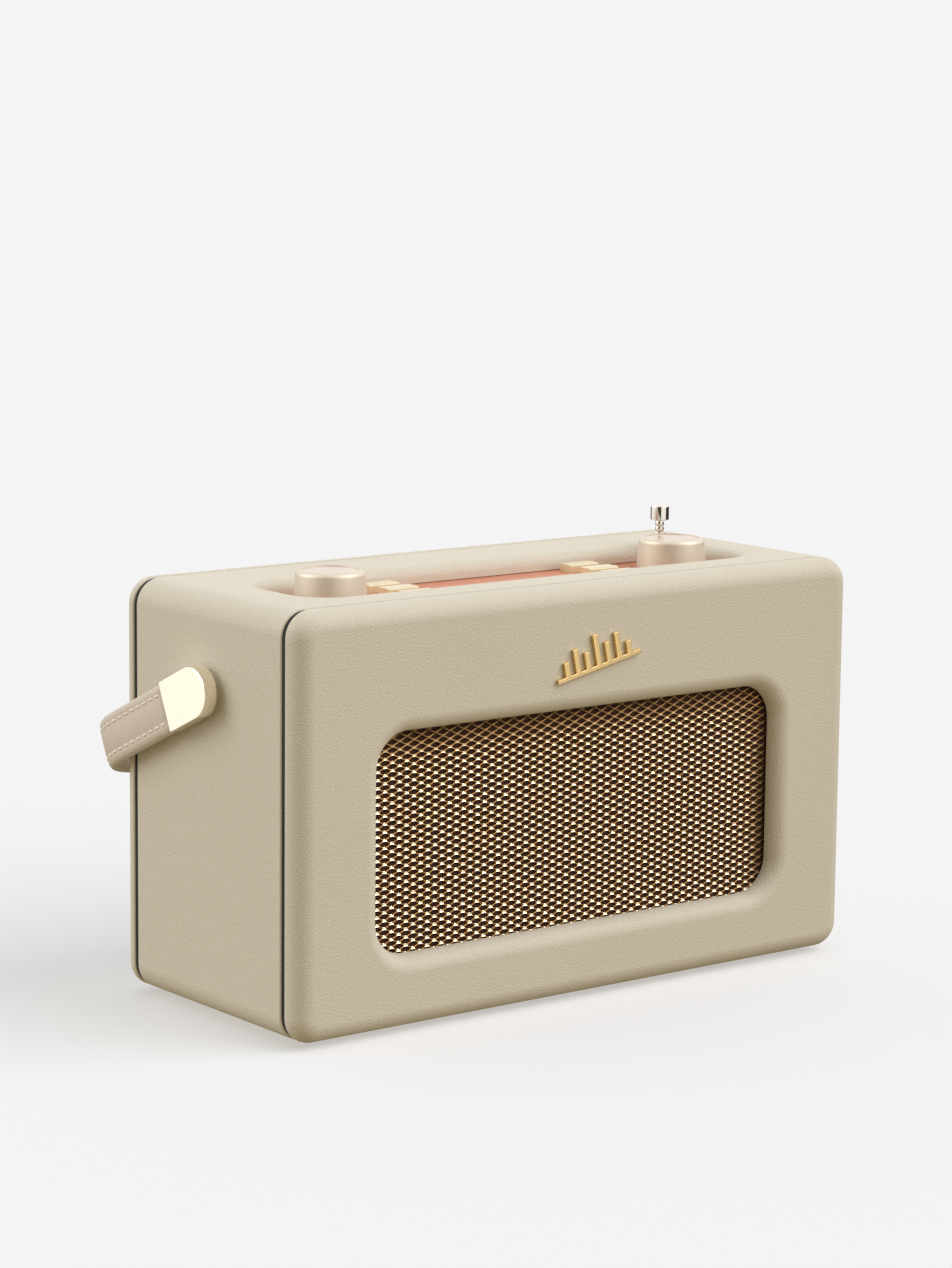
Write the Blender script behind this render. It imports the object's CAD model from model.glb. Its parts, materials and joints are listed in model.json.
import json
import logging
import math
from dataclasses import dataclass, field
from enum import Enum
from typing import Callable

import bmesh
import bpy
from bpy.types import Material, Node, NodeSocket, NodeTree, Object, ShaderNodeTree
from mathutils import Matrix, Vector

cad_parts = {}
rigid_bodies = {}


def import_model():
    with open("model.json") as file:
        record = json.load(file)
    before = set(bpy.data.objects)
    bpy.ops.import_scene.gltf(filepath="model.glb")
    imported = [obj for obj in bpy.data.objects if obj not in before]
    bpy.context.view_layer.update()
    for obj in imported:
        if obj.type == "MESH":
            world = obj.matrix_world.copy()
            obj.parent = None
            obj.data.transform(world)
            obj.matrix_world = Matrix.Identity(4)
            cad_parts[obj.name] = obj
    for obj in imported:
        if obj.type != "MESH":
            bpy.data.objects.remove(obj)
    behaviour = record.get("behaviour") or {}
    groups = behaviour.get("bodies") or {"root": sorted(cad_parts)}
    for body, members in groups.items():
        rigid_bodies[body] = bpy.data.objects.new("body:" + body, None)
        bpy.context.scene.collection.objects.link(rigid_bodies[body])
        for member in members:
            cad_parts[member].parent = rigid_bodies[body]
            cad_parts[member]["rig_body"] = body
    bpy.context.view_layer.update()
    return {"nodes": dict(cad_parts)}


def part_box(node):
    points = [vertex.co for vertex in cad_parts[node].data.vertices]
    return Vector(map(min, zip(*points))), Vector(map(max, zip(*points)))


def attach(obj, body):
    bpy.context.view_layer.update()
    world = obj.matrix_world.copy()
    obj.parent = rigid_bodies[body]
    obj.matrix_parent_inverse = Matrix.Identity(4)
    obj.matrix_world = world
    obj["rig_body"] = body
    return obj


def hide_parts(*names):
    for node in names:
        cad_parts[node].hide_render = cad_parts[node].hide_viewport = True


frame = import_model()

# Looks of a leathercloth portable radio. Metres, +Z up, front towards -Y.

log = logging.getLogger("radio")
MM = 0.001
RGB = tuple[float, float, float]
Point = tuple[float, float, float]


class Side(Enum):
    """Left or right of the cabinet, as a sign along X."""

    LEFT = -1
    RIGHT = 1


class Lie(Enum):
    """Which way the fine lines of a metal run."""

    ALONG_X = (0.04, 1.0, 1.0)
    ALONG_Z = (1.0, 1.0, 0.04)
    NONE = (1.0, 1.0, 1.0)


# ---------------------------------------------------------------- node helpers


class Graph:
    """Short way to add and join nodes of one tree.

    Args:
        tree: The shader or geometry tree to write into.
    """

    def __init__(self, tree: NodeTree) -> None:
        self.tree = tree

    def add(self, kind: str, settings: dict | None = None, **inputs: object) -> Node:
        """Adds one node.

        Args:
            kind: Blender's name of the node type.
            settings: Properties of the node itself.
            inputs: Values or sockets by input name, with spaces as underscores, or i0, i1 by position.

        Returns:
            The node.
        """
        node = self.tree.nodes.new(kind)
        for name, value in (settings or {}).items():
            setattr(node, name, value)
        for name, value in inputs.items():
            by_place = name[0] == "i" and name[1:].isdigit()
            socket = node.inputs[int(name[1:])] if by_place else self.find(node, name)
            self.feed(socket, value)
        return node

    def find(self, node: Node, name: str) -> NodeSocket:
        """First enabled input with a name, given with underscores for spaces."""
        wanted = name.replace("_", " ")
        return next(s for s in node.inputs if s.name == wanted and s.enabled)

    def feed(self, socket: NodeSocket, value: object) -> None:
        """Links a socket to another, or sets its value."""
        if isinstance(value, NodeSocket):
            self.tree.links.new(value, socket)
        elif isinstance(value, Node):
            self.tree.links.new(first_output(value), socket)
        else:
            socket.default_value = value

    def maths(self, operation: str, a: object, b: object = 0.0) -> NodeSocket:
        """One math node with two inputs."""
        return self.add("ShaderNodeMath", {"operation": operation}, i0=a, i1=b).outputs[0]

    def times(self, a: object, b: object) -> NodeSocket:
        """Product of two values."""
        return self.maths("MULTIPLY", a, b)

    def vectors(self, operation: str, a: object, b: object = (0.0, 0.0, 0.0)) -> NodeSocket:
        """One vector math node with two inputs."""
        return first_output(self.add("ShaderNodeVectorMath", {"operation": operation}, i0=a, i1=b))

    def parts(self, vector: object) -> dict[str, NodeSocket]:
        """The X, Y and Z of a vector."""
        return self.add("ShaderNodeSeparateXYZ", Vector=vector).outputs

    def span(self, value: object, low: float, high: float, to_low: float = 0.0,
             to_high: float = 1.0) -> NodeSocket:
        """Maps a range onto another, smoothly and within its limits."""
        return self.add("ShaderNodeMapRange", {"interpolation_type": "SMOOTHSTEP"}, Value=value,
                        From_Min=low, From_Max=high, To_Min=to_low, To_Max=to_high).outputs[0]

    def mix(self, factor: object, a: object, b: object) -> NodeSocket:
        """Mixes two colours, each a socket or three numbers."""
        node = self.add("ShaderNodeMix", {"data_type": "RGBA"})
        for place, value in ((0, factor), (6, a), (7, b)):
            self.feed(node.inputs[place], rgba(value) if isinstance(value, tuple) else value)
        return node.outputs[2]

    def moved(self, geometry: object, **how: object) -> NodeSocket:
        """Geometry shifted, turned or scaled."""
        return self.add("GeometryNodeTransform", Geometry=geometry, **how).outputs[0]

    def joined(self, pieces: list[NodeSocket]) -> NodeSocket:
        """Several geometries as one."""
        node = self.add("GeometryNodeJoinGeometry")
        for piece in pieces:
            self.tree.links.new(piece, node.inputs[0])
        return node.outputs[0]

    def cube(self, size: object) -> NodeSocket:
        """Box round the origin."""
        return self.add("GeometryNodeMeshCube", Size=size).outputs["Mesh"]


def first_output(node: Node) -> NodeSocket:
    """First output of a node that is in use."""
    return next(s for s in node.outputs if s.enabled)


def rgba(colour: RGB) -> tuple[float, float, float, float]:
    """Colour with an alpha of one."""
    return (*colour, 1.0)


def darker(colour: RGB, share: float) -> RGB:
    """Colour with a share of its light."""
    return tuple(c * share for c in colour)


def srgb(red: int, green: int, blue: int) -> RGB:
    """Linear colour from the eight-bit values of a paint chart."""
    def linear(value: int) -> float:
        share = value / 255
        return share / 12.92 if share <= 0.04045 else ((share + 0.055) / 1.055) ** 2.4
    return (linear(red), linear(green), linear(blue))


# ---------------------------------------------------------------- effects shared by the finishes


class Effects:
    """Shader node groups, each built once and used by several finishes."""

    def __init__(self) -> None:
        self.made: dict[str, ShaderNodeTree] = {}

    def group(self, name: str, inputs: dict[str, object], outputs: tuple[str, ...],
              fill: Callable[[Graph, dict[str, NodeSocket]], tuple]) -> ShaderNodeTree:
        """Builds a group, or returns the one already built.

        Args:
            name: Name of the group.
            inputs: Input names with their default values, beside the vector that every group reads.
            outputs: Names of the outputs.
            fill: Writes the nodes from the group's inputs, and returns a socket for each output.

        Returns:
            The node group.
        """
        if name in self.made:
            return self.made[name]
        tree = bpy.data.node_groups.new(name, "ShaderNodeTree")
        for label, value in {"Vector": (0.0, 0.0, 0.0), **inputs}.items():
            kind = "NodeSocketVector" if isinstance(value, tuple) else "NodeSocketFloat"
            tree.interface.new_socket(label, in_out="INPUT", socket_type=kind).default_value = value
        for label in outputs:
            tree.interface.new_socket(label, in_out="OUTPUT", socket_type="NodeSocketFloat")
        g = Graph(tree)
        source = g.add("NodeGroupInput").outputs
        sink = g.add("NodeGroupOutput").inputs
        for label, socket in zip(outputs, fill(g, source)):
            g.feed(sink[label], socket)
        self.made[name] = tree
        return tree

    def grain(self) -> ShaderNodeTree:
        """Pebbled leather grain: a height and a mask of the creases."""
        def fill(g: Graph, source: dict[str, NodeSocket]) -> tuple:
            where, size = source["Vector"], source["Pebbles per metre"]
            wobble = g.add("ShaderNodeTexNoise", Vector=where, Scale=g.times(size, 0.35))
            shift = g.add("ShaderNodeVectorMath", {"operation": "SCALE"}, Vector=wobble.outputs["Color"],
                          Scale=g.maths("DIVIDE", 0.9, size))
            place = g.vectors("ADD", where, shift)
            cells = g.add("ShaderNodeTexVoronoi", {"feature": "DISTANCE_TO_EDGE"}, Vector=place,
                          Scale=size).outputs[0]
            small = g.add("ShaderNodeTexVoronoi", {"feature": "F1"}, Vector=place, Scale=g.times(size, 2.3))
            pores = g.span(small.outputs["Distance"], 0.0, 0.18, 1.0, 0.0)
            plump = g.span(cells, 0.0, 0.45)
            return g.maths("SUBTRACT", plump, g.times(pores, 0.25)), g.span(cells, 0.0, 0.22, 1.0, 0.0)
        return self.group("Leather grain", {"Pebbles per metre": 900.0}, ("Height", "Creases"), fill)

    def handling(self) -> ShaderNodeTree:
        """Faint smears and specks left by use: a smear mask and a speck mask."""
        def fill(g: Graph, source: dict[str, NodeSocket]) -> tuple:
            where, size = source["Vector"], source["Smears per metre"]
            smear = g.add("ShaderNodeTexNoise", Vector=where, Scale=size, Detail=5.0)
            specks = g.add("ShaderNodeTexNoise", Vector=where, Scale=g.times(size, 22.0), Detail=2.0)
            return g.span(smear.outputs[0], 0.35, 0.7), g.span(specks.outputs[0], 0.62, 0.72)
        return self.group("Handling marks", {"Smears per metre": 18.0}, ("Smears", "Specks"), fill)

    def lines(self) -> ShaderNodeTree:
        """Fine drawn lines of worked metal: a height and a streak mask."""
        def fill(g: Graph, source: dict[str, NodeSocket]) -> tuple:
            stretched = g.vectors("MULTIPLY", source["Vector"], source["Lie"])
            fine = g.add("ShaderNodeTexNoise", Vector=stretched, Scale=source["Lines per metre"],
                         Detail=4.0).outputs[0]
            return fine, g.span(fine, 0.3, 0.7)
        return self.group("Drawn lines", {"Lie": (1.0, 1.0, 1.0), "Lines per metre": 2500.0},
                          ("Height", "Streaks"), fill)

    def turned(self) -> ShaderNodeTree:
        """Rings left by a lathe round a vertical axis: a height and a ring mask."""
        def fill(g: Graph, source: dict[str, NodeSocket]) -> tuple:
            off = g.vectors("SUBTRACT", source["Vector"], source["Axis"])
            radius = g.vectors("LENGTH", g.vectors("MULTIPLY", off, (1.0, 1.0, 0.0)))
            turns = g.times(radius, source["Rings per metre"])
            ring = g.maths("SINE", g.times(turns, math.tau))
            noise = g.add("ShaderNodeTexNoise", {"noise_dimensions": "1D"}, W=turns, Scale=1.7,
                          Detail=2.0).outputs[0]
            return g.maths("ADD", g.times(ring, 0.3), noise), g.span(noise, 0.3, 0.7)
        return self.group("Lathe rings", {"Axis": (0.0, 0.0, 0.0), "Rings per metre": 4000.0},
                          ("Height", "Rings"), fill)

    def weave(self) -> ShaderNodeTree:
        """Plain weave in the XZ plane: a height and a mask of the gaps."""
        def fill(g: Graph, source: dict[str, NodeSocket]) -> tuple:
            parts = g.parts(source["Vector"])
            count = g.times(source["Threads per metre"], math.pi)
            waves = [g.maths("ABSOLUTE", g.maths("SINE", g.times(parts[axis], count))) for axis in "XZ"]
            height = g.maths("MAXIMUM", *waves)
            return height, g.span(height, 0.2, 0.6, 1.0, 0.0)
        return self.group("Plain weave", {"Threads per metre": 1400.0}, ("Height", "Gaps"), fill)


EFFECTS = Effects()


class Coat:
    """One material while it is being written.

    Args:
        name: Name of the material.
    """

    def __init__(self, name: str) -> None:
        self.material = bpy.data.materials.new(name)
        self.material.use_nodes = True
        self.graph = Graph(self.material.node_tree)
        self.shader = self.material.node_tree.nodes["Principled BSDF"]
        self.where = self.graph.add("ShaderNodeTexCoord").outputs["Object"]

    def base(self, settings: dict[str, object]) -> None:
        """Sets constants of the Principled shader by socket name."""
        for label, value in settings.items():
            self.shader.inputs[label].default_value = value

    def effect(self, tree: ShaderNodeTree, **inputs: object) -> dict[str, NodeSocket]:
        """Places a shared effect, reading the piece's own coordinates.

        Args:
            tree: The node group.
            inputs: The group's inputs, with underscores for spaces.

        Returns:
            The group's outputs.
        """
        return self.graph.add("ShaderNodeGroup", {"node_tree": tree}, Vector=self.where, **inputs).outputs

    def relief(self, height: object, depth: float) -> None:
        """Feeds a height into the normal through a bump of a depth in metres."""
        bump = self.graph.add("ShaderNodeBump", Height=height, Distance=depth, Strength=1.0)
        self.graph.feed(self.shader.inputs["Normal"], bump.outputs[0])

    def colour(self, value: object) -> None:
        """Feeds the base colour."""
        self.graph.feed(self.shader.inputs["Base Color"], value)

    def roughness(self, value: object) -> None:
        """Feeds the roughness."""
        self.graph.feed(self.shader.inputs["Roughness"], value)


# ---------------------------------------------------------------- finishes


@dataclass(frozen=True)
class Finish:
    """Look of a material, which each kind of finish writes in its own way."""

    name: str

    def make(self) -> Material:
        """Builds the material."""
        coat = Coat(self.name)
        self.write(coat, coat.graph)
        return coat.material

    def write(self, coat: Coat, g: Graph) -> None:
        """Sets the shader's values and adds the nodes that feed it."""
        raise NotImplementedError


@dataclass(frozen=True)
class Leather(Finish):
    """Grained leathercloth or leather."""

    colour: RGB
    crease: RGB
    pebbles: float = 900.0
    depth: float = 0.00008
    rough: float = 0.5

    def write(self, coat: Coat, g: Graph) -> None:
        """Pebbles with darker, duller creases, worn a little by handling."""
        coat.base({"Specular IOR Level": 0.42})
        grain = coat.effect(EFFECTS.grain(), Pebbles_per_metre=self.pebbles)
        marks = coat.effect(EFFECTS.handling(), Smears_per_metre=14.0)
        tone = g.mix(g.times(grain["Creases"], 0.16), self.colour, self.crease)
        coat.colour(g.mix(g.times(marks["Smears"], 0.06), tone, self.crease))
        rough = g.span(grain["Creases"], 0.0, 1.0, self.rough, self.rough + 0.16)
        coat.roughness(g.maths("SUBTRACT", rough, g.times(marks["Smears"], 0.05)))
        coat.relief(grain["Height"], self.depth)


@dataclass(frozen=True)
class Metal(Finish):
    """Plated, polished, drawn or pressed metal."""

    colour: RGB
    rough: float
    lie: Lie = Lie.NONE
    per_metre: float = 2500.0
    depth: float = 0.000004
    tarnish: float = 0.15

    def write(self, coat: Coat, g: Graph) -> None:
        """Fine lines, with tarnish in smears."""
        coat.base({"Metallic": 1.0})
        lines = coat.effect(EFFECTS.lines(), Lie=self.lie.value, Lines_per_metre=self.per_metre)
        marks = coat.effect(EFFECTS.handling(), Smears_per_metre=60.0)
        coat.colour(g.mix(g.times(marks["Smears"], self.tarnish), self.colour, darker(self.colour, 0.72)))
        rough = g.span(lines["Streaks"], 0.0, 1.0, self.rough, self.rough * 1.5)
        coat.roughness(g.maths("ADD", rough, g.times(marks["Smears"], 0.05)))
        coat.relief(lines["Height"], self.depth)


@dataclass(frozen=True)
class ExpandedMetal(Finish):
    """Gilt sheet whose bonds are burnished and whose strands are duller."""

    bond: RGB
    strand: RGB
    top: float = 105.4
    right: float = 90.0
    fade: float = 8.0
    gloom: float = 0.8

    def write(self, coat: Coat, g: Graph) -> None:
        """Bright bonds and dull strands, both darker under the frame's top and right edges."""
        coat.base({"Metallic": 1.0})
        bright = g.add("ShaderNodeAttribute", {"attribute_name": "Bond"}).outputs["Fac"]
        lines = coat.effect(EFFECTS.lines(), Lie=Lie.NONE.value, Lines_per_metre=1500.0)
        uneven = g.mix(g.times(lines["Streaks"], 0.3), self.strand, darker(self.strand, 0.6))
        place = g.parts(coat.where)
        edges = [g.span(place[axis], (limit - self.fade) * MM, limit * MM)
                 for axis, limit in (("Z", self.top), ("X", self.right))]
        dull = g.times(g.maths("POWER", g.maths("MAXIMUM", *edges), 1.5), self.gloom)
        coat.colour(g.mix(dull, g.mix(bright, uneven, self.bond), darker(self.strand, 0.12)))
        coat.roughness(g.span(bright, 0.0, 1.0, 0.36, 0.24))
        coat.relief(lines["Height"], 0.00002)


@dataclass(frozen=True)
class SpunDisc(Finish):
    """Lathe-turned disc, clear lacquered."""

    colour: RGB
    axis: Point
    metallic: float = 0.35

    def write(self, coat: Coat, g: Graph) -> None:
        """Rings round the axis under a clear coat."""
        coat.base({"Metallic": self.metallic, "Coat Weight": 0.35, "Coat Roughness": 0.12})
        rings = coat.effect(EFFECTS.turned(), Axis=self.axis, Rings_per_metre=3500.0)
        coat.colour(g.mix(g.times(rings["Rings"], 0.5), self.colour, darker(self.colour, 0.86)))
        coat.roughness(g.span(rings["Rings"], 0.0, 1.0, 0.3, 0.42))
        coat.relief(rings["Height"], 0.000006)


@dataclass(frozen=True)
class Moulding(Finish):
    """Moulded or sprayed plastic, rubber, board or paper."""

    colour: RGB
    rough: float = 0.45
    texture: float = 2200.0
    depth: float = 0.00002
    gloss: float = 0.0
    metallic: float = 0.0

    def write(self, coat: Coat, g: Graph) -> None:
        """Mottled skin with specks of dust."""
        coat.base({"Metallic": self.metallic, "Coat Weight": self.gloss, "Coat Roughness": 0.08})
        skin = coat.effect(EFFECTS.lines(), Lie=Lie.NONE.value, Lines_per_metre=self.texture)
        marks = coat.effect(EFFECTS.handling(), Smears_per_metre=30.0)
        pale = g.mix(g.times(skin["Streaks"], 0.18), self.colour, darker(self.colour, 0.8))
        dust = tuple(min(1.0, c * 0.7 + 0.18) for c in self.colour)
        coat.colour(g.mix(g.times(marks["Specks"], 0.05), pale, dust))
        coat.roughness(g.span(marks["Smears"], 0.0, 1.0, self.rough, self.rough + 0.07))
        coat.relief(skin["Height"], self.depth)


@dataclass(frozen=True)
class Cloth(Finish):
    """Woven speaker cloth."""

    colour: RGB
    threads: float = 1400.0

    def write(self, coat: Coat, g: Graph) -> None:
        """Matt threads with dark gaps."""
        coat.base({"Roughness": 0.9, "Sheen Weight": 0.2, "Specular IOR Level": 0.2})
        weave = coat.effect(EFFECTS.weave(), Threads_per_metre=self.threads)
        coat.colour(g.mix(weave["Gaps"], self.colour, darker(self.colour, 0.4)))
        coat.relief(weave["Height"], 0.0001)


@dataclass(frozen=True)
class Timber(Finish):
    """Pressed board and softwood."""

    colour: RGB
    dark: RGB

    def write(self, coat: Coat, g: Graph) -> None:
        """Fibres along X."""
        coat.base({"Specular IOR Level": 0.3})
        fibres = coat.effect(EFFECTS.lines(), Lie=Lie.ALONG_X.value, Lines_per_metre=900.0)
        coat.colour(g.mix(fibres["Streaks"], self.colour, self.dark))
        coat.roughness(g.span(fibres["Streaks"], 0.0, 1.0, 0.6, 0.8))
        coat.relief(fibres["Height"], 0.00008)


@dataclass(frozen=True)
class CircuitBoard(Finish):
    """Solder resist over copper tracks."""

    resist: RGB
    track: RGB

    def write(self, coat: Coat, g: Graph) -> None:
        """Square tracks and pads that stand a little proud."""
        coat.base({"Roughness": 0.35, "Coat Weight": 0.3, "Coat Roughness": 0.2})
        cells = g.add("ShaderNodeTexVoronoi", {"feature": "F1", "distance": "CHEBYCHEV"}, Vector=coat.where,
                      Scale=220.0).outputs["Distance"]
        tracks = g.span(cells, 0.42, 0.46)
        pads = g.span(cells, 0.08, 0.1, 1.0, 0.0)
        coat.colour(g.mix(g.maths("MAXIMUM", tracks, pads), self.resist, self.track))
        coat.relief(tracks, 0.00003)


@dataclass(frozen=True)
class Window(Finish):
    """Clear moulded window."""

    colour: RGB

    def write(self, coat: Coat, g: Graph) -> None:
        """Clear plastic with a faint swirl."""
        coat.base({"Roughness": 0.04, "Transmission Weight": 1.0, "IOR": 1.49,
                   "Base Color": rgba(self.colour)})
        swirl = coat.effect(EFFECTS.lines(), Lines_per_metre=60.0)
        coat.relief(swirl["Height"], 0.00001)


@dataclass(frozen=True)
class Readout(Finish):
    """Unlit liquid crystal glass with its faint grid of cells."""

    glass: RGB
    cells: RGB

    def write(self, coat: Coat, g: Graph) -> None:
        """Oblong cells in glass."""
        coat.base({"Roughness": 0.25, "Coat Weight": 0.6, "Coat Roughness": 0.05})
        parts = g.parts(coat.where)
        steps = [g.span(g.maths("FRACT", g.times(parts[axis], per_metre)), 0.1, 0.16)
                 for axis, per_metre in (("X", 320.0), ("Y", 180.0))]
        coat.colour(g.mix(g.times(g.times(*steps), 0.6), self.glass, self.cells))


LEATHERCLOTH = Leather("Cream leathercloth", srgb(218, 212, 195), srgb(186, 171, 146))
STRAP_LEATHER = Leather("Strap leather", srgb(224, 214, 200), srgb(184, 168, 148), pebbles=1300.0)
THREAD = Moulding("Cream thread", srgb(255, 250, 238), rough=0.7, texture=6000.0, depth=0.00005)
SEAM_RUBBER = Moulding("Dark seam strip", srgb(14, 10, 8), rough=0.8)
FOOT_RUBBER = Moulding("Foot rubber", srgb(50, 42, 36), rough=0.75, depth=0.00005)
MESH_GOLD = ExpandedMetal("Gilt expanded metal", (1.0, 0.84, 0.55), (0.46, 0.25, 0.09))
POLISHED_GOLD = Metal("Polished gilt", (1.0, 0.94, 0.80), 0.09, per_metre=900.0, tarnish=0.05)
EMBLEM_GOLD = Metal("Emblem gilt", (0.96, 0.70, 0.33), 0.16)
ZINC = Metal("Zinc plate", (0.60, 0.60, 0.57), 0.33, Lie.ALONG_Z)
NICKEL = Metal("Nickel plate", (0.80, 0.77, 0.72), 0.07, Lie.ALONG_Z, tarnish=0.1)
BARE_ALUMINIUM = Metal("Extruded aluminium", (0.80, 0.80, 0.81), 0.38, Lie.ALONG_Z)
COPPER_PAINT = Moulding("Copper brown paint", srgb(212, 132, 98), rough=0.36, gloss=0.2, metallic=0.15)
PRINT = Moulding("Dark print", srgb(74, 38, 30), rough=0.5)
KNOB_CREAM = Moulding("Cream knob", srgb(224, 215, 197), rough=0.42, texture=5000.0, depth=0.000004,
                      gloss=0.2, metallic=0.35)
KEY_GOLD = Moulding("Pale gold keys", srgb(233, 219, 182), rough=0.3, texture=3000.0, depth=0.000004,
                    gloss=0.35, metallic=0.3)
BLACK_PLASTIC = Moulding("Black plastic", srgb(30, 29, 28), rough=0.5)
BROWN_PLASTIC = Moulding("Brown back plastic", srgb(96, 70, 52), rough=0.55, texture=1500.0, depth=0.00008)
CONE_PAPER = Moulding("Pressed paper", srgb(40, 38, 36), rough=0.9, texture=1100.0, depth=0.0001)
FERRITE = Moulding("Grey ferrite", srgb(62, 62, 66), rough=0.6, texture=1800.0, depth=0.00005)
CELL_JACKET = Moulding("Cell jacket", srgb(60, 66, 78), rough=0.3, gloss=0.5)
GRILLE_CLOTH = Cloth("Speaker cloth", srgb(56, 30, 17))
BOARD = Timber("Hardboard", srgb(156, 124, 90), srgb(112, 84, 58))
CIRCUIT = CircuitBoard("Circuit board", srgb(24, 84, 48), srgb(70, 128, 74))
LENS = Window("Display window", (0.78, 0.82, 0.86))
READOUT = Readout("Display glass", srgb(96, 104, 112), srgb(84, 93, 102))

MATERIALS: dict[str, Material] = {}


def dress(piece: Object, finish: Finish) -> Object:
    """Gives a piece one finish all over.

    Args:
        piece: The mesh object.
        finish: One of the finishes.

    Returns:
        The same piece.
    """
    piece.data.materials.clear()
    piece.data.materials.append(material_of(finish))
    return piece


def material_of(finish: Finish) -> Material:
    """Material of a finish, built the first time that it is used."""
    if finish.name not in MATERIALS:
        MATERIALS[finish.name] = finish.make()
    return MATERIALS[finish.name]


# ---------------------------------------------------------------- mesh helpers


def new_object(name: str, data: bpy.types.ID) -> Object:
    """Links a mesh, curve, light or camera as an object at the origin."""
    piece = bpy.data.objects.new(name, data)
    bpy.context.scene.collection.objects.link(piece)
    return piece


def settle(piece: Object) -> Object:
    """Turns a piece with live modifiers into a plain mesh object of the same name.

    Args:
        piece: Object whose modifiers are ready.

    Returns:
        The plain object; the first one is removed.
    """
    bpy.context.view_layer.update()
    depsgraph = bpy.context.evaluated_depsgraph_get()
    mesh = bpy.data.meshes.new_from_object(piece.evaluated_get(depsgraph), depsgraph=depsgraph)
    name = piece.name
    bpy.data.objects.remove(piece)
    mesh.name = name
    return new_object(name, mesh)


def soften_normals(piece: Object, angle: float = 32.0) -> Object:
    """Smooths a piece's shading below an angle and keeps its flats flat."""
    bm = bmesh.new()
    bm.from_mesh(piece.data)
    limit = math.radians(angle)
    for edge in bm.edges:
        edge.smooth = edge.calc_face_angle(0.0) < limit
    for face in bm.faces:
        face.smooth = True
    bm.to_mesh(piece.data)
    bm.free()
    weighted = piece.modifiers.new("Flats", "WEIGHTED_NORMAL")
    weighted.keep_sharp = True
    weighted.weight = 90
    return settle(piece)


def cover(node: str, name: str, finish: Finish, bevel: float = 0.0, angle: float = 32.0) -> Object:
    """Finished copy of a CAD node, which then stands for it.

    Args:
        node: The CAD node.
        name: Name of the piece.
        finish: Its finish.
        bevel: Width of the bevel on its sharp edges, in millimetres.
        angle: Edges below this many degrees are shaded smooth.

    Returns:
        The piece.
    """
    mesh = frame["nodes"][node].data.copy()
    bm = bmesh.new()
    bm.from_mesh(mesh)
    bmesh.ops.remove_doubles(bm, verts=bm.verts, dist=1e-6)
    if bevel:
        bmesh.ops.dissolve_limit(bm, angle_limit=math.radians(0.4), verts=bm.verts, edges=bm.edges)
    bm.to_mesh(mesh)
    bm.free()
    piece = new_object(name, mesh)
    if bevel:
        made = piece.modifiers.new("Bevel", "BEVEL")
        made.width = bevel * MM
        made.segments = 2
        made.limit_method = "ANGLE"
        made.angle_limit = math.radians(angle)
        piece = settle(piece)
    piece = soften_normals(piece, angle)
    dress(piece, finish)
    return stand_for(piece, node)


def stand_for(piece: Object, *nodes: str) -> Object:
    """Rides a piece on its CAD node's body in place of the node, in the same material slot."""
    body = frame["nodes"][nodes[0]]["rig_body"]
    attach(piece, body)
    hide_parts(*nodes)
    log.info("%s: %d faces", piece.name, len(piece.data.polygons))
    return piece


def add_to(piece: Object, body: str) -> Object:
    """Rides an extra piece on a body."""
    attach(piece, body)
    log.info("%s: %d faces", piece.name, len(piece.data.polygons))
    return piece


def paint(node: str, finish: Finish) -> None:
    """Gives a CAD node that is kept its finish."""
    dress(frame["nodes"][node], finish)
    log.info("%s: painted", node)


def middle_of(node: str) -> Vector:
    """Middle of a CAD node's box."""
    low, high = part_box(node)
    return (low + high) / 2


# ---------------------------------------------------------------- geometry trees


class GeoTree:
    """A geometry tree with named inputs.

    Args:
        name: Name of the tree.
        inputs: Input names with their values; an int, a float or a tuple.
    """

    def __init__(self, name: str, inputs: dict[str, object]) -> None:
        self.tree = bpy.data.node_groups.new(name, "GeometryNodeTree")
        face = self.tree.interface
        face.new_socket("Geometry", in_out="INPUT", socket_type="NodeSocketGeometry")
        self.values = inputs
        self.idents: dict[str, str] = {}
        for label, value in inputs.items():
            kind = {int: "NodeSocketInt", float: "NodeSocketFloat", tuple: "NodeSocketVector"}[type(value)]
            socket = face.new_socket(label, in_out="INPUT", socket_type=kind)
            socket.default_value = value
            self.idents[label] = socket.identifier
        face.new_socket("Geometry", in_out="OUTPUT", socket_type="NodeSocketGeometry")
        self.g = Graph(self.tree)
        self.source = self.g.add("NodeGroupInput").outputs
        self.sink = self.g.add("NodeGroupOutput").inputs

    def take(self, *labels: str) -> list[NodeSocket]:
        """Inputs of the tree, inside it."""
        return [self.source[label] for label in labels]

    def vector(self, x: object, y: object, z: object) -> NodeSocket:
        """Vector from three values or sockets."""
        return self.g.add("ShaderNodeCombineXYZ", X=x, Y=y, Z=z).outputs[0]

    def spread(self, points: object, instance: object, **how: object) -> NodeSocket:
        """A copy of a geometry on each point."""
        return self.g.add("GeometryNodeInstanceOnPoints", Points=points, Instance=instance, **how).outputs[0]

    def end(self, geometry: object, finish: Finish) -> None:
        """Realizes the instances, sets the material and joins the result to the output."""
        real = self.g.add("GeometryNodeRealizeInstances", Geometry=geometry)
        dressed = self.g.add("GeometryNodeSetMaterial", Geometry=real, Material=material_of(finish))
        self.g.feed(self.sink[0], dressed.outputs[0])

    def grow(self, host: Object, **changed: object) -> Object:
        """Runs the tree on a host object.

        Args:
            host: Object that carries the points or curve.
            changed: Inputs that differ from the tree's own values.

        Returns:
            The plain mesh object that comes out.
        """
        made = host.modifiers.new(self.tree.name, "NODES")
        made.node_group = self.tree
        for label, value in {**self.values, **changed}.items():
            made[self.idents[label]] = value
        return settle(host)


def host_of_points(name: str, points: list[Vector]) -> Object:
    """Object that has only points."""
    mesh = bpy.data.meshes.new(name)
    mesh.from_pydata([tuple(p) for p in points], [], [])
    return new_object(name, mesh)


# ---------------------------------------------------------------- cabinet


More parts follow.
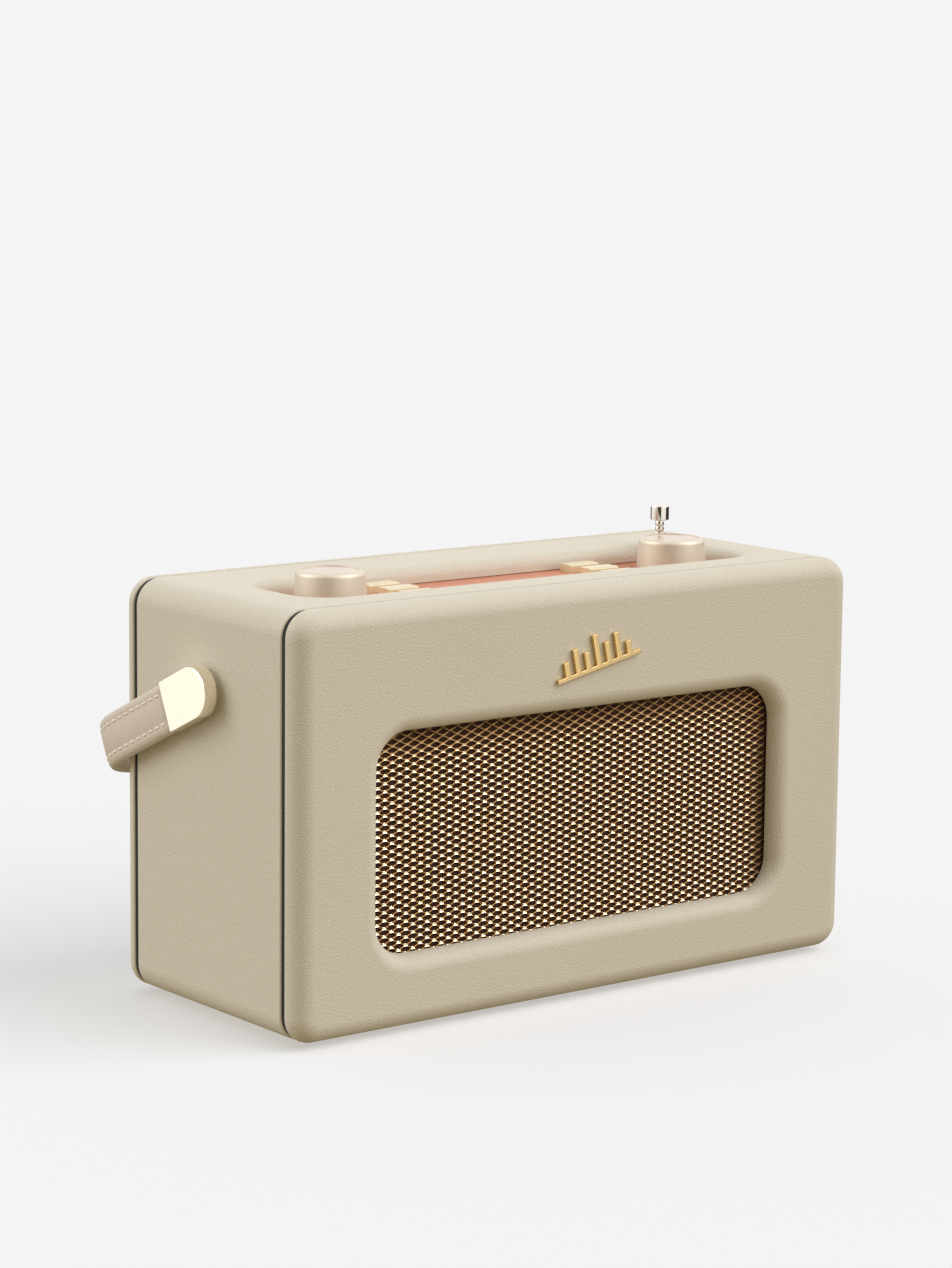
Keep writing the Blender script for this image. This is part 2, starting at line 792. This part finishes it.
@dataclass
class Cabinet:
    """Wrapped sleeve, the two frames, the seam strips and the feet."""

    def build(self) -> None:
        """Dresses the cabinet."""
        for node in ("cabinet_sleeve", "front_frame", "rear_frame"):
            cover(node, node + "_cover", LEATHERCLOTH)
        paint("seam_gaskets", SEAM_RUBBER)
        cover("feet", "rubber_feet", FOOT_RUBBER, bevel=0.5)
        paint("corner_blocks", BOARD)
        cover("badge", "emblem", EMBLEM_GOLD, bevel=0.28)


@dataclass
class Grille:
    """Expanded metal sheet: bonds in a staggered lattice, joined by slanting strands."""

    pitch_x: float = 3.07
    pitch_z: float = 1.4
    strand: float = 0.42
    bond: float = 1.55
    plate: float = 0.95
    lean: float = 40.0
    strand_lean: float = 12.0
    rim: float = 1.0
    corner: float = 16.0
    gauge: float = 0.25

    def tree(self, low: Vector, high: Vector) -> GeoTree:
        """Builds the lattice tree for a sheet between two corners."""
        middle, half = (low + high) / 2, (high - low) / 2
        margin = self.rim * MM
        tree = GeoTree("Expanded metal", {
            "Columns": int(2 * half.x / (self.pitch_x * MM)) + 3,
            "Rows": int(half.z / (self.pitch_z * MM)) + 3,
            "Pitch X": self.pitch_x * MM, "Pitch Z": self.pitch_z * MM, "Strand": self.strand * MM,
            "Gauge": (high.y - low.y) * self.gauge, "Bond": self.bond * MM, "Plate": self.plate * MM,
            "Lean": math.radians(self.lean), "Strand lean": math.radians(self.strand_lean),
            "Middle": tuple(middle), "Half size": (half.x - margin, 0.0, half.z - margin),
            "Corner": self.corner * MM})
        g = tree.g
        columns, rows, px, pz, centre = tree.take("Columns", "Rows", "Pitch X", "Pitch Z", "Middle")
        sheet = g.add("GeometryNodeMeshGrid", Vertices_X=columns, Vertices_Y=rows,
                      Size_X=g.times(px, g.maths("SUBTRACT", columns, 1.0)),
                      Size_Y=g.times(g.times(pz, 2.0), g.maths("SUBTRACT", rows, 1.0)))
        index = g.add("GeometryNodeInputIndex").outputs[0]
        column = g.maths("FLOOR", g.maths("DIVIDE", index, rows))
        spot = g.parts(g.add("GeometryNodeInputPosition").outputs[0])
        shifted = g.maths("ADD", spot["Y"], g.times(g.maths("MODULO", column, 2.0), pz))
        upright = g.add("GeometryNodeSetPosition", Geometry=sheet.outputs["Mesh"],
                        Position=tree.vector(spot["X"], 0.0, shifted))
        kept = g.add("GeometryNodeDeleteGeometry", Geometry=upright, Selection=self.outside(tree))
        grown = tree.spread(kept, self.unit(tree))
        tree.end(g.moved(grown, Translation=centre), MESH_GOLD)
        return tree

    def outside(self, tree: GeoTree) -> NodeSocket:
        """Selection of the points outside the rounded outline."""
        g = tree.g
        size, corner = tree.take("Half size", "Corner")
        spot = g.parts(g.add("GeometryNodeInputPosition").outputs[0])
        half = g.parts(size)
        squares = []
        for axis in ("X", "Z"):
            straight = g.maths("SUBTRACT", half[axis], corner)
            past = g.maths("SUBTRACT", g.maths("ABSOLUTE", spot[axis]), straight)
            squares.append(g.maths("POWER", g.maths("MAXIMUM", past, 0.0), 2.0))
        return g.maths("GREATER_THAN", g.maths("SQRT", g.maths("ADD", *squares)), corner)

    def unit(self, tree: GeoTree) -> NodeSocket:
        """One bond with the four half strands that leave it."""
        g = tree.g
        px, pz, strand = tree.take("Pitch X", "Pitch Z", "Strand")
        gauge, bond, plate = tree.take("Gauge", "Bond", "Plate")
        lean, strand_lean = (g.times(angle, -1.0) for angle in tree.take("Lean", "Strand lean"))
        tipped = g.moved(g.cube(tree.vector(bond, gauge, plate)), Rotation=tree.vector(lean, 0.0, 0.0))
        pieces = [self.marked(g, tipped, 1.0)]
        diagonal = g.maths("SQRT", g.maths("ADD", g.maths("POWER", px, 2.0), g.maths("POWER", pz, 2.0)))
        ribbon = g.cube(tree.vector(g.times(diagonal, 0.56), gauge, strand))
        slope = g.maths("ARCTAN2", pz, px)
        for right in (1.0, -1.0):
            for up in (1.0, -1.0):
                where = tree.vector(g.times(px, 0.26 * right), 0.0, g.times(pz, 0.26 * up))
                turn = tree.vector(strand_lean, g.times(slope, -right * up), 0.0)
                pieces.append(self.marked(g, g.moved(ribbon, Translation=where, Rotation=turn), 0.0))
        return g.joined(pieces)

    def marked(self, g: Graph, geometry: NodeSocket, value: float) -> NodeSocket:
        """Geometry that carries its share of burnish."""
        settings = {"data_type": "FLOAT", "domain": "POINT"}
        return g.add("GeometryNodeStoreNamedAttribute", settings, Geometry=geometry, Name="Bond",
                     Value=value).outputs[0]

    def build(self) -> None:
        """Makes the grille and dresses the cloth behind it."""
        low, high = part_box("grille_mesh")
        host = host_of_points("grille_sheet", [(low + high) / 2])
        stand_for(self.tree(low, high).grow(host), "grille_mesh")
        paint("grille_cloth", GRILLE_CLOTH)


# ---------------------------------------------------------------- speaker and electronics


@dataclass
class Inside:
    """What the cabinet hides."""

    finishes: dict[str, Finish] = field(default_factory=lambda: {
        "speaker_baffle": BOARD, "speaker_basket": ZINC, "speaker_magnet": FERRITE,
        "speaker_cone": CONE_PAPER, "speaker_dust_cap": CONE_PAPER, "key_switches": BLACK_PLASTIC,
        "control_board": CIRCUIT, "volume_potentiometer": ZINC, "tuning_encoder": ZINC, "volume_shaft": ZINC,
        "tuning_shaft": ZINC, "tuning_plunger": BLACK_PLASTIC, "shaft_nuts": ZINC, "aerial_base_tube": NICKEL,
        "main_board": CIRCUIT, "board_pillars": ZINC, "tuner_module": ZINC, "board_capacitors": CELL_JACKET,
        "heat_sink": BARE_ALUMINIUM, "battery_bay": BLACK_PLASTIC, "batteries": CELL_JACKET,
        "battery_contacts": NICKEL, "door_hinge_pin": ZINC, "strap_studs": POLISHED_GOLD})

    def build(self) -> None:
        """Dresses the hidden pieces."""
        for node, finish in self.finishes.items():
            paint(node, finish)


@dataclass
class Screws:
    """Cross-headed wood screws."""

    head: float = 2.8
    head_depth: float = 1.6
    rise: float = 1.5
    slot: float = 0.7
    shank: float = 1.5

    def tree(self) -> GeoTree:
        """Builds the tree that puts a cross-headed screw on each point, facing back."""
        tree = GeoTree("Cross-headed screws", {
            "Head": self.head * MM, "Rise": self.rise * MM, "Slot": self.slot * MM, "Shank": self.shank * MM,
            "Length": 11.0 * MM})
        g = tree.g
        head, rise, slot, radius, length = tree.take("Head", "Rise", "Slot", "Shank", "Length")
        dome = g.add("GeometryNodeMeshUVSphere", Segments=24, Rings=12, Radius=head).outputs["Mesh"]
        squash = g.moved(dome, Scale=tree.vector(1.0, 1.0, g.maths("DIVIDE", rise, head)))
        cutters = [g.moved(g.cube(tree.vector(0.02, 0.02, 0.02)), Translation=(0.0, 0.0, -0.01))]
        depth, arm = g.times(rise, 0.9), g.times(head, 1.1)
        for size in (tree.vector(arm, slot, depth), tree.vector(slot, arm, depth)):
            cutters.append(g.moved(g.cube(size), Translation=tree.vector(0.0, 0.0, rise)))
        cut = g.add("GeometryNodeMeshBoolean", {"operation": "DIFFERENCE"})
        g.feed(cut.inputs[0], squash)
        g.feed(cut.inputs[1], g.joined(cutters))
        shank = g.add("GeometryNodeMeshCylinder", Vertices=20, Radius=radius, Depth=length).outputs["Mesh"]
        sunk = g.moved(shank, Translation=tree.vector(0.0, 0.0, g.times(length, -0.5)))
        both = g.joined([cut.outputs[0], sunk])
        tree.end(tree.spread(tree.source[0], both, Rotation=(-math.pi / 2, 0.0, 0.0)), ZINC)
        return tree

    def build(self) -> None:
        """Makes the screws of the rear panel and of the speaker."""
        tree = self.tree()
        inset = self.head * MM
        for node in ("rear_panel_screws", "speaker_screws"):
            low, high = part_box(node)
            level = high.y - self.head_depth * MM
            points = [Vector((x, level, z)) for x in (low.x + inset, high.x - inset)
                      for z in (low.z + inset, high.z - inset)]
            stand_for(tree.grow(host_of_points(node + "_cross", points), Length=level - low.y), node)


# ---------------------------------------------------------------- controls


@dataclass
class Controls:
    """Panel, knobs, keys, display and the printed marks."""

    ticks: int = 11
    tick: float = 2.2
    tick_width: float = 0.45
    dial: float = 15.6
    ink: float = 0.05

    def dial_tree(self) -> GeoTree:
        """Builds the tree that prints ticks round a knob."""
        tree = GeoTree("Dial ticks", {"Count": self.ticks, "Radius": self.dial * MM, "Length": self.tick * MM,
                                      "Width": self.tick_width * MM, "Ink": self.ink * MM})
        g = tree.g
        count, radius, length, width, ink = tree.take("Count", "Radius", "Length", "Width", "Ink")
        arc = g.add("GeometryNodeCurveArc", Resolution=count, Radius=radius, Start_Angle=-math.pi / 3,
                    Sweep_Angle=math.pi * 5 / 3)
        spots = g.add("GeometryNodeCurveToPoints", {"mode": "EVALUATED"}, Curve=arc).outputs
        turn = g.add("FunctionNodeAlignRotationToVector", {"axis": "Y"}, Vector=spots["Tangent"]).outputs[0]
        ring = tree.spread(spots[0], g.cube(tree.vector(length, width, ink)), Rotation=turn)
        tree.end(tree.spread(tree.source[0], ring), PRINT)
        return tree

    def build(self) -> None:
        """Makes and dresses the controls."""
        cover("control_panel", "painted_tray", COPPER_PAINT)
        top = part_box("display_lens")[1].z
        knobs = [middle_of(n) for n in ("volume_knob", "tuning_knob")]
        host = host_of_points("dial_ticks", [Vector((k.x, k.y, top + 0.02 * MM)) for k in knobs])
        add_to(self.dial_tree().grow(host), "cabinet")
        for node in ("volume_knob", "tuning_knob"):
            cover(node, node + "_body", KNOB_CREAM)
            centre = middle_of(node + "_disc")
            disc = SpunDisc(node.replace("_", " ") + " disc", srgb(222, 203, 188), tuple(centre))
            cover(node + "_disc", node + "_inlay", disc)
        for side in ("left", "right"):
            for row in ("back", "middle", "front"):
                cover(f"key_{side}_{row}", f"key_cap_{side}_{row}", KEY_GOLD, bevel=0.45)
        cover("display_lens", "display_window", LENS, bevel=0.3)
        cover("display_module", "display_glass", READOUT, bevel=0.3)


@dataclass
class Aerial:
    """Telescopic aerial."""

    def build(self) -> None:
        """Dresses the aerial."""
        for number in (1, 2, 3, 4):
            cover(f"aerial_section_{number}", f"aerial_tube_{number}_plated", NICKEL, bevel=0.08)
        cover("aerial_tip", "aerial_tip_plated", NICKEL, bevel=0.45)
        cover("aerial_bush", "aerial_bush_moulded", BLACK_PLASTIC, bevel=0.2)


@dataclass
class Back:
    """Rear panel, battery door and sockets."""

    ribs: int = 13
    rib_pitch: float = 2.0
    rib: Point = (0.8, 0.6, 7.0)
    grip_proud: float = 1.2
    rib_sink: float = 0.25
    grip_drop: float = 11.0

    def rib_tree(self) -> GeoTree:
        """Builds the tree that moulds grip ribs along a line."""
        tree = GeoTree("Grip ribs", {"Count": self.ribs, "Pitch": self.rib_pitch * MM,
                                     "Rib": tuple(side * MM for side in self.rib)})
        g = tree.g
        count, pitch, rib = tree.take("Count", "Pitch", "Rib")
        line = g.add("GeometryNodeMeshLine", Count=count, Offset=tree.vector(pitch, 0.0, 0.0))
        tree.end(tree.spread(tree.source[0], tree.spread(line, g.cube(rib))), BROWN_PLASTIC)
        return tree

    def build(self) -> None:
        """Dresses the back."""
        cover("rear_panel", "back_moulding", BROWN_PLASTIC)
        cover("battery_door", "door_moulding", BROWN_PLASTIC, bevel=0.25)
        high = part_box("battery_door")[1]
        start = Vector((-(self.ribs - 1) * self.rib_pitch * MM / 2,
                        high.y - self.grip_proud * MM + self.rib_sink * MM, high.z - self.grip_drop * MM))
        add_to(self.rib_tree().grow(host_of_points("door_ribs", [start])), "door")
        cover("headphone_socket", "headphone_socket_moulded", BLACK_PLASTIC, bevel=0.15)
        cover("power_socket", "power_socket_moulded", BLACK_PLASTIC, bevel=0.15)


# ---------------------------------------------------------------- strap


@dataclass
class Strap:
    """Padded leather strap with two stitched rows on each face, and its gilt ends."""

    pivot: float = 116.5
    droop: float = 24.7
    outer: float = 132.3
    reach: float = 82.0
    bend: float = 28.0
    start: float = 17.8
    width: float = 17.6
    thickness: float = 5.0
    row: float = 5.1
    stitch: float = 3.1
    pitch: float = 4.3
    thread: float = 0.46
    thread_sink: float = 0.32
    slant: float = 0.06
    groove: float = 0.42
    groove_width: float = 0.75

    def place(self, across: float, along: float, over: float) -> Vector:
        """Point in the row frame from distances in the strap's own plane, in millimetres."""
        tilt = math.radians(self.droop)
        y = along * math.cos(tilt) + over * math.sin(tilt)
        z = self.pivot - along * math.sin(tilt) + over * math.cos(tilt)
        return Vector((across, y, z)) * MM

    def route(self, inset: float) -> list[tuple[Vector, Vector]]:
        """Plan points and outward directions along the strap, at a depth below its outer face."""
        side = self.outer - inset
        corner = self.outer - self.bend
        radius = self.bend - inset
        turn = self.reach - self.bend
        points: list[tuple[Vector, Vector]] = []
        legs = 9
        for i in range(legs):
            v = self.start + (turn - self.start) * i / legs
            points.append((Vector((side, v)), Vector((1.0, 0.0))))
        steps = 16
        for i in range(steps + 1):
            angle = math.pi / 2 * i / steps
            out = Vector((math.cos(angle), math.sin(angle)))
            points.append((Vector((corner, turn)) + out * radius, out))
        runs = 24
        for i in range(1, runs):
            u = corner - 2 * corner * i / runs
            points.append((Vector((u, turn + radius)), Vector((0.0, 1.0))))
        first_half = points[:legs + steps + 1]
        mirrored = [(Vector((-p.x, p.y)), Vector((-n.x, n.y))) for p, n in reversed(first_half)]
        return points + mirrored

    def section(self) -> list[tuple[float, float]]:
        """Cross-section: a crowned pad with rounded edges, drawn in along the stitched rows."""
        count = 48
        half_width = self.width / 2
        half_thick = self.thickness / 2
        points = []
        for i in range(count):
            angle = math.tau * i / count
            c, s = math.cos(angle), math.sin(angle)
            w = half_width * math.copysign(abs(c) ** 0.42, c)
            t = half_thick * math.copysign(abs(s) ** 0.72, s)
            pull = math.exp(-((abs(w) - self.row) / self.groove_width) ** 2) * self.groove
            points.append((w, t - math.copysign(min(pull, abs(t)), t)))
        return points

    def body(self) -> Object:
        """Sweeps the section along the route and closes its ends."""
        middle = self.thickness / 2
        route = self.route(middle)
        section = self.section()
        bm = bmesh.new()
        rings = [[bm.verts.new(self.place(*(spot + out * t), w)) for w, t in section] for spot, out in route]
        count = len(section)
        for a, b in zip(rings, rings[1:]):
            for i in range(count):
                j = (i + 1) % count
                bm.faces.new((a[i], a[j], b[j], b[i]))
        bm.faces.new(rings[0])
        bm.faces.new(reversed(rings[-1]))
        bmesh.ops.recalc_face_normals(bm, faces=bm.faces)
        mesh = bpy.data.meshes.new("strap_pad")
        bm.to_mesh(mesh)
        bm.free()
        for polygon in mesh.polygons:
            polygon.use_smooth = len(polygon.vertices) == 4
        return dress(new_object("strap_pad", mesh), STRAP_LEATHER)

    def stitch_tree(self) -> GeoTree:
        """Builds the tree that sews stitches along a curve."""
        tree = GeoTree("Stitches", {"Pitch": self.pitch * MM, "Stitch": self.stitch * MM,
                                    "Thread": self.thread * MM, "Slant": self.slant})
        g = tree.g
        pitch, stitch, thread, slant = tree.take("Pitch", "Stitch", "Thread", "Slant")
        even = g.add("GeometryNodeResampleCurve", {"mode": "LENGTH"}, Curve=tree.source[0], Length=pitch)
        spots = g.add("GeometryNodeCurveToPoints", {"mode": "EVALUATED"}, Curve=even).outputs
        bead = g.add("GeometryNodeMeshUVSphere", Segments=8, Rings=6, Radius=thread).outputs["Mesh"]
        length = g.maths("DIVIDE", g.times(stitch, 0.5), thread)
        stretched = g.moved(bead, Scale=tree.vector(1.0, 1.0, length))
        turn = g.add("FunctionNodeAlignRotationToVector", {"axis": "Z"}, Vector=spots["Tangent"])
        slanted = g.add("FunctionNodeRotateRotation", {"rotation_space": "LOCAL"}, Rotation=turn.outputs[0],
                        Rotate_By=tree.vector(slant, slant, 0.0))
        tree.end(tree.spread(spots[0], stretched, Rotation=slanted.outputs[0]), THREAD)
        return tree

    def stitches(self) -> None:
        """Sews two rows on the outer face and two on the inner."""
        tree = self.stitch_tree()
        for face, inset in (("outer", self.thread_sink), ("inner", self.thickness - self.thread_sink)):
            route = self.route(inset)[1:-1]
            for edge in Side:
                curve = bpy.data.curves.new(f"stitches_{face}_{edge.name.lower()}", "CURVE")
                curve.dimensions = "3D"
                spline = curve.splines.new("POLY")
                spline.points.add(len(route) - 1)
                for point, (spot, _) in zip(spline.points, route):
                    point.co = (*self.place(*spot, self.row * edge.value), 1.0)
                piece = tree.grow(new_object(curve.name, curve))
                for polygon in piece.data.polygons:
                    polygon.use_smooth = True
                add_to(piece, "carrying_strap")

    def build(self) -> None:
        """Makes the strap, its stitches and its ends."""
        pad = stand_for(self.body(), "strap")
        self.stitches()
        cover("strap_ferrules", "gilt_strap_ends", POLISHED_GOLD, bevel=1.3, angle=25.0)


# ---------------------------------------------------------------- studio


@dataclass
class Studio:
    """Pale floor, soft lights and the camera."""

    eye: Point = (-0.78372, -0.99192, 0.32582)
    yaw: float = 0.6626
    pitch: float = 0.1577
    roll: float = 0.0105
    lens: float = 100.5
    film: float = 36.0
    ground: RGB = (0.36, 0.29, 0.17)
    low_sky: RGB = (0.60, 0.56, 0.50)
    high_sky: RGB = (0.57, 0.585, 0.59)
    gloom: RGB = (0.05, 0.042, 0.03)
    panel: RGB = (1.08, 1.05, 1.0)
    backdrop: RGB = (0.913, 0.913, 0.917)
    matt: RGB = (0.54, 0.54, 0.545)
    glow: float = 0.47
    sunlight: RGB = (1.0, 0.985, 1.02)

    def floor(self) -> Object:
        """Wide plain floor that shows soft shadows."""
        bm = bmesh.new()
        bmesh.ops.create_grid(bm, x_segments=2, y_segments=2, size=30.0)
        mesh = bpy.data.meshes.new("studio_floor")
        bm.to_mesh(mesh)
        bm.free()
        piece = new_object("studio_floor", mesh)
        material = bpy.data.materials.new("Studio floor")
        material.use_nodes = True
        material.node_tree.nodes.clear()
        g = Graph(material.node_tree)
        glow = g.add("ShaderNodeEmission", Color=rgba(self.backdrop), Strength=self.glow)
        matt = g.add("ShaderNodeBsdfDiffuse", Color=rgba(self.matt))
        both = g.add("ShaderNodeAddShader")
        g.tree.links.new(glow.outputs[0], both.inputs[0])
        g.tree.links.new(matt.outputs[0], both.inputs[1])
        g.add("ShaderNodeOutputMaterial", Surface=both.outputs[0])
        piece.data.materials.append(material)
        piece.visible_diffuse = False
        piece.visible_glossy = False
        return piece

    def world(self) -> None:
        """Bright panels at both sides, gloom behind the camera and a plain backdrop."""
        world = bpy.data.worlds.new("Studio")
        bpy.context.scene.world = world
        world.use_nodes = True
        tree = world.node_tree
        tree.nodes.clear()
        g = Graph(tree)
        way = g.add("ShaderNodeTexCoord").outputs["Generated"]
        facing = (-math.sin(self.yaw), -math.cos(self.yaw), 0.0)
        aside = (math.cos(self.yaw), -math.sin(self.yaw), 0.0)
        ahead = g.vectors("DOT_PRODUCT", way, facing)
        right = g.vectors("DOT_PRODUCT", way, aside)
        height = g.parts(way)["Z"]
        low = g.mix(g.span(height, -0.35, 0.12), self.ground, self.low_sky)
        sky = g.mix(g.span(height, 0.0, 0.85), low, self.high_sky)
        soft = g.mix(g.times(g.span(ahead, 0.25, 0.95), 0.88), sky, self.ground)
        turn = g.maths("ARCTAN2", right, ahead)
        left_panel = g.times(g.span(turn, -2.3, -2.15), g.span(turn, -0.68, -0.5, 1.0, 0.0))
        right_panel = g.times(g.span(turn, 0.2, 0.36), g.span(turn, 1.3, 1.5, 1.0, 0.0))
        above = g.span(height, 0.45, 0.7)
        behind = g.times(g.span(height, 0.01, 0.06), g.span(ahead, -0.3, 0.0, 1.0, 0.0))
        bright = g.maths("MAXIMUM", g.maths("MAXIMUM", left_panel, right_panel),
                         g.maths("MAXIMUM", above, behind))
        sharp = g.mix(bright, self.gloom, self.panel)
        path = g.add("ShaderNodeLightPath").outputs
        around = g.mix(path["Is Glossy Ray"], soft, sharp)
        seen = g.mix(path["Is Camera Ray"], around, self.backdrop)
        back = g.add("ShaderNodeBackground", Color=seen, Strength=1.0)
        g.add("ShaderNodeOutputWorld", Surface=back.outputs[0])

    def sun(self, name: str, place: Point, spread: float, strength: float) -> Object:
        """One wide, soft and even light.

        Args:
            name: Name of the light.
            place: Direction that it comes from.
            spread: Its apparent width in degrees.
            strength: Its strength.

        Returns:
            The light.
        """
        data = bpy.data.lights.new(name, "SUN")
        data.angle = math.radians(spread)
        data.energy = strength
        data.color = self.sunlight
        lamp = new_object(name, data)
        lamp.location = place
        lamp.rotation_euler = Vector(place).to_track_quat("Z", "Y").to_euler()
        return lamp

    def keep_off(self, lamp: Object, piece: Object) -> None:
        """Stops a light from reaching one piece.

        Args:
            lamp: The light.
            piece: The piece that it leaves alone.
        """
        group = bpy.data.collections.new(lamp.name + " leaves out")
        group.objects.link(piece)
        group.collection_objects[0].light_linking.link_state = "EXCLUDE"
        lamp.light_linking.receiver_collection = group

    def camera(self) -> None:
        """Camera at the left of the front, a little above the top."""
        data = bpy.data.cameras.new("Camera")
        data.lens = self.lens
        data.sensor_fit = "VERTICAL"
        data.sensor_height = self.film
        data.clip_end = 100.0
        camera = new_object("Camera", data)
        level = math.cos(self.pitch)
        ahead = Vector((math.sin(self.yaw) * level, math.cos(self.yaw) * level, -math.sin(self.pitch)))
        right = ahead.cross(Vector((0, 0, 1))).normalized()
        up = right.cross(ahead)
        turn = Matrix((right, up, -ahead)).transposed() @ Matrix.Rotation(self.roll, 3, "Z")
        camera.matrix_world = Matrix.Translation(self.eye) @ turn.to_4x4()
        bpy.context.scene.camera = camera

    def build(self) -> None:
        """Sets up the studio."""
        floor = self.floor()
        self.world()
        self.sun("Key", (0.50, -0.60, 0.62), 55.0, 1.75)
        left = self.sun("Left", (-0.72, 0.48, 0.5), 50.0, 1.27)
        self.keep_off(left, floor)
        self.camera()
        bpy.context.scene.view_settings.view_transform = "Standard"


def main() -> None:
    """Builds every sub-assembly in order."""
    logging.basicConfig(level=logging.INFO, format="%(name)s %(message)s")
    for part in (Studio(), Cabinet(), Grille(), Inside(), Screws(), Controls(), Aerial(), Back(), Strap()):
        log.info("building %s", type(part).__name__)
        part.build()


if __name__ == "__main__":
    main()
